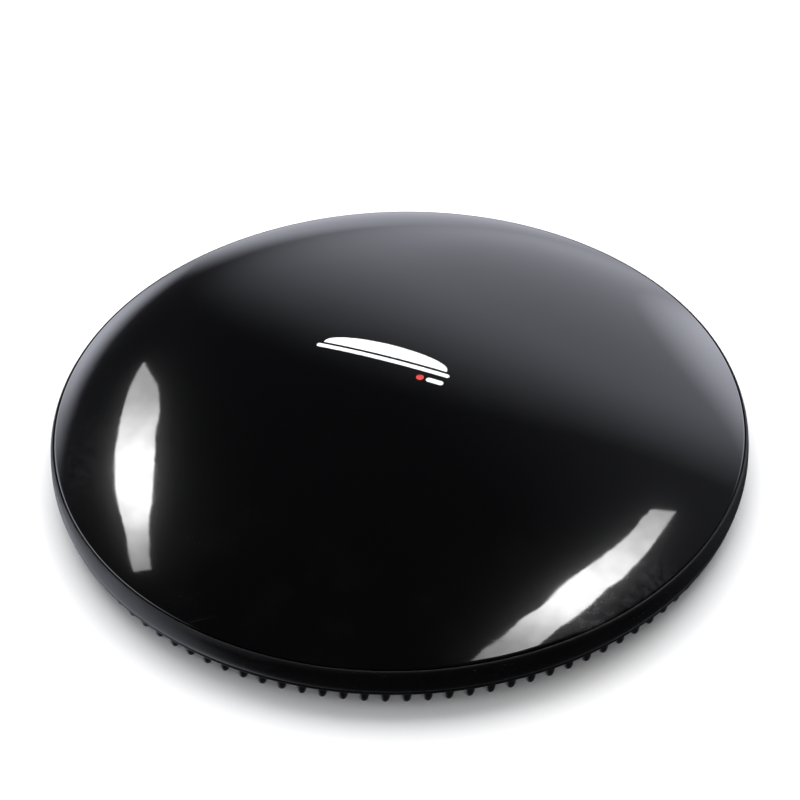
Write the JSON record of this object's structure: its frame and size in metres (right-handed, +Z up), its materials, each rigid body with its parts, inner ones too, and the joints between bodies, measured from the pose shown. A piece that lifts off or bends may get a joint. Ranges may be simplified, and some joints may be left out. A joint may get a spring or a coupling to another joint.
{
  "type": "wobble cushion",
  "caption": "Round inflatable balance cushion with a smooth domed top, a rim band with a parting lip, a nubbed underside and a needle valve in the rim.",
  "frame": {"origin": "on the floor under the centre of the disc, level with the flat tips of the nubs", "axes": "+Z up along the disc's axis of symmetry, +Y towards the back, where the valve sits 30 degrees to the left of +Y seen from above"},
  "size_m": [0.33, 0.33, 0.0612],
  "materials": {
    "gloss_skin": "glossy soft PVC, slightly uneven, with fine dust and scratches",
    "moulded_base": "satin moulded soft PVC",
    "valve_rubber": "matte rubber",
    "plug_plastic": "satin moulded plastic"
  },
  "bodies": {
    "base": {"bottom_shell": "moulded_base", "parting_lip": "moulded_base", "rim_band": "gloss_skin", "top_skin_edge": "gloss_skin", "valve_sleeve": "valve_rubber", "valve_core": "valve_rubber"},
    "shoulder": {"top_skin_shoulder": "gloss_skin"},
    "middle": {"top_skin_middle": "gloss_skin"},
    "crown": {"top_skin_crown": "gloss_skin"},
    "plug": {"valve_plug": "plug_plastic"}
  },
  "joints": [
    {"name": "top_sink", "type": "slide", "parent": "base", "child": "shoulder", "axis": [0, 0, -1], "range_m": [0, 0.012], "stiffness_N_per_m": 25000},
    {"name": "tilt_about_x", "type": "hinge", "parent": "shoulder", "child": "middle", "pos_m": [0, 0, 0.04704], "axis": [1, 0, 0], "range_deg": [-8, 8], "stiffness_Nm_per_rad": 25},
    {"name": "tilt_about_y", "type": "hinge", "parent": "middle", "child": "crown", "pos_m": [0, 0, 0.05464], "axis": [0, 1, 0], "range_deg": [-8, 8], "stiffness_Nm_per_rad": 8},
    {"name": "plug_pull", "type": "slide", "parent": "base", "child": "plug", "axis": [-0.5, 0.866, 0], "range_m": [0, 0.015]}
  ]
}
